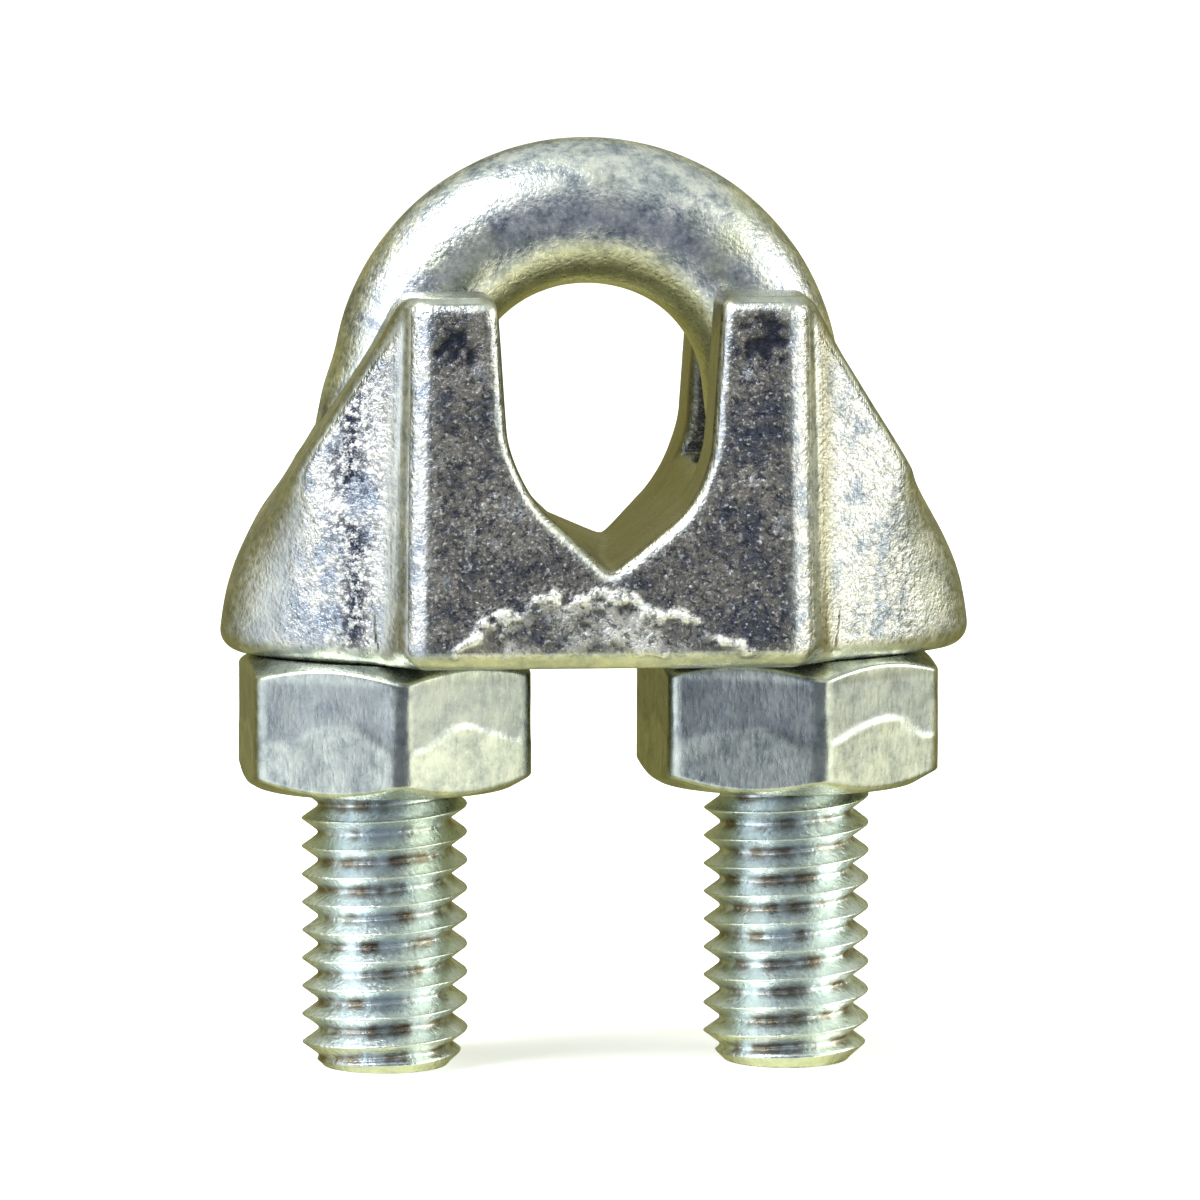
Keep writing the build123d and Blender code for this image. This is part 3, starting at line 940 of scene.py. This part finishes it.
# ---------------------------------------------------------------- operators


class ClipBoltBuild(bpy.types.Operator):
    """Build the bent, threaded U-bolt"""

    bl_idname = "rope_clip.u_bolt"
    bl_label = "U-Bolt"

    def execute(self, context):
        build_u_bolt(context.scene.rope_clip_bolt, zinc_plated_drawn_steel())
        return {"FINISHED"}


class ClipSaddleBuild(bpy.types.Operator):
    """Build the cast saddle"""

    bl_idname = "rope_clip.saddle"
    bl_label = "Saddle"

    def execute(self, context):
        build_saddle(context.scene.rope_clip_saddle, zinc_plated_sand_casting())
        return {"FINISHED"}


class ClipNutsBuild(bpy.types.Operator):
    """Build the two hex nuts"""

    bl_idname = "rope_clip.nuts"
    bl_label = "Nuts"

    def execute(self, context):
        look = context.scene.rope_clip_nut
        material = zinc_plated_cold_formed_steel()
        build_nut(look, material, "left", LEG_PLACES["left"], look.left_turn)
        build_nut(look, material, "right", LEG_PLACES["right"], look.right_turn)
        return {"FINISHED"}


def light_the_studio(look):
    """A room for the metal to mirror: bright side walls, dim behind the camera, olive behind the clip."""
    world = bpy.data.worlds.new("studio")
    bpy.context.scene.world = world
    world.use_nodes = True
    tree = world.node_tree
    direction = add_node(tree, "ShaderNodeTexCoord").outputs["Generated"]
    parts = add_node(tree, "ShaderNodeSeparateXYZ", {0: direction})
    deep, high = parts.outputs["Y"], parts.outputs["Z"]
    # Y is -1 behind the camera and 1 behind the clip, whose olive reaches further round on the right
    sides = add_node(
        tree, "ShaderNodeMapRange", {"Value": parts.outputs["X"], FROM_LOW: -0.3, FROM_HIGH: 0.3}
    ).outputs["Result"]
    ahead = add_node(
        tree, "ShaderNodeMapRange", {"Value": deep, FROM_LOW: -0.74, FROM_HIGH: -0.61}
    ).outputs["Result"]
    behind = add_node(
        tree, "ShaderNodeMath", {0: parts.outputs["X"], 1: 0.08, 2: deep}, operation="MULTIPLY_ADD"
    ).outputs[0]
    behind = add_node(
        tree, "ShaderNodeMapRange", {"Value": behind, FROM_LOW: -0.36, FROM_HIGH: 0.2}
    ).outputs["Result"]
    above = add_node(
        tree, "ShaderNodeMapRange", {"Value": high, FROM_LOW: 0.35, FROM_HIGH: 0.75}
    ).outputs["Result"]
    below = add_node(
        tree, "ShaderNodeMapRange", {"Value": high, FROM_LOW: -0.6, FROM_HIGH: -0.85}
    ).outputs["Result"]
    left, right = linear(look.left_colour), linear(look.right_colour)
    front, back = linear(look.front_colour), linear(look.back_colour)
    ceiling, table = linear(look.ceiling_colour), linear(look.table_colour)
    room = add_node(
        tree, "ShaderNodeMix", {SHARE: sides, UNDER: left, OVER: right}, data_type="RGBA"
    ).outputs[MIXED]
    room = add_node(
        tree, "ShaderNodeMix", {SHARE: ahead, UNDER: front, OVER: room}, data_type="RGBA"
    ).outputs[MIXED]
    room = add_node(
        tree, "ShaderNodeMix", {SHARE: behind, UNDER: room, OVER: back}, data_type="RGBA"
    ).outputs[MIXED]
    room = add_node(
        tree, "ShaderNodeMix", {SHARE: above, UNDER: room, OVER: ceiling}, data_type="RGBA"
    ).outputs[MIXED]
    room = add_node(
        tree, "ShaderNodeMix", {SHARE: below, UNDER: room, OVER: table}, data_type="RGBA"
    ).outputs[MIXED]
    background = tree.nodes["Background"]
    tree.links.new(room, background.inputs["Color"])
    background.inputs["Strength"].default_value = look.wall_light


def area_light(name, place, aim, size, power):
    """A square softbox: its place, aim and size in metres, and its power in watts."""
    light = bpy.data.lights.new(name, "AREA")
    light.size = size
    light.energy = power
    lamp = bpy.data.objects.new(name, light)
    bpy.context.scene.collection.objects.link(lamp)
    lamp.location = place
    lamp.rotation_mode = "QUATERNION"
    lamp.rotation_quaternion = (Vector(aim) - Vector(place)).to_track_quat("-Z", "Y")


class ClipStageBuild(bpy.types.Operator):
    """Set out the floor, the studio light and the camera"""

    bl_idname = "rope_clip.stage"
    bl_label = "Stage"

    def execute(self, context):
        look = context.scene.rope_clip_stage
        mesh = bpy.data.meshes.new("floor")
        reach = 4.0
        corners = [(-reach, -reach, 0), (reach, -reach, 0), (reach, reach, 0), (-reach, reach, 0)]
        mesh.from_pydata(corners, [], [(0, 1, 2, 3)])
        floor_piece = bpy.data.objects.new("floor", mesh)
        context.scene.collection.objects.link(floor_piece)
        # The metal mirrors only the studio walls, so the floor doesn't whiten the faces turned forward
        floor_piece.visible_glossy = False
        material = bpy.data.materials.new("frosted_acrylic_light_table")
        material.use_nodes = True
        shader = material.node_tree.nodes["Principled BSDF"]
        shader.inputs["Base Color"].default_value = linear(look.floor_colour)
        shader.inputs["Roughness"].default_value = 0.9
        shader.inputs["Specular IOR Level"].default_value = 0.1
        # A light table: lit a little from below, so that shadows on it stay pale
        shader.inputs["Emission Color"].default_value = linear(look.floor_colour)
        shader.inputs["Emission Strength"].default_value = look.table_glow
        mesh.materials.append(material)
        light_the_studio(look)
        centre = (0.0, 0.0, 0.018)
        area_light("upper_left_softbox", (-0.25, -0.12, 0.32), centre, 0.22, 2.0)
        area_light("right_softbox", (0.35, -0.05, 0.12), centre, 0.2, 0.6)
        camera = bpy.data.cameras.new("camera")
        view = bpy.data.objects.new("camera", camera)
        context.scene.collection.objects.link(view)
        context.scene.camera = view
        back = Vector(
            (
                sin(look.view_turn) * cos(look.view_height),
                -cos(look.view_turn) * cos(look.view_height),
                sin(look.view_height),
            )
        )
        view.location = (Vector(look.aim) + back * look.distance) * MM
        view.rotation_mode = "QUATERNION"
        view.rotation_quaternion = (-back).to_track_quat("-Z", "Y")
        sensor = 36.0
        camera.sensor_width = sensor
        camera.lens = sensor * look.distance / look.span
        camera.clip_start = 0.01
        camera.clip_end = 20.0
        context.scene.view_settings.view_transform = "Standard"
        return {"FINISHED"}


class ClipPanel(bpy.types.Panel):
    """Builds the clip piece by piece"""

    bl_idname = "VIEW3D_PT_rope_clip"
    bl_label = "Wire Rope Clip"
    bl_space_type = "VIEW_3D"
    bl_region_type = "UI"
    bl_category = "Rope Clip"

    def draw(self, context):
        for operator in (ClipBoltBuild, ClipSaddleBuild, ClipNutsBuild, ClipStageBuild):
            self.layout.operator(operator.bl_idname)


SETTINGS = {
    "rope_clip_bolt": ClipBoltSettings,
    "rope_clip_saddle": ClipSaddleSettings,
    "rope_clip_nut": ClipNutSettings,
    "rope_clip_stage": ClipStageSettings,
}
CLASSES = (*SETTINGS.values(), ClipBoltBuild, ClipSaddleBuild, ClipNutsBuild, ClipStageBuild, ClipPanel)


def register():
    for cls in CLASSES:
        bpy.utils.register_class(cls)
    for name, cls in SETTINGS.items():
        setattr(bpy.types.Scene, name, PointerProperty(type=cls))


def unregister():
    for name in SETTINGS:
        delattr(bpy.types.Scene, name)
    for cls in reversed(CLASSES):
        bpy.utils.unregister_class(cls)


def main():
    register()
    bpy.ops.rope_clip.u_bolt()
    bpy.ops.rope_clip.saddle()
    bpy.ops.rope_clip.nuts()
    bpy.ops.rope_clip.stage()


if __name__ == "__main__":
    main()
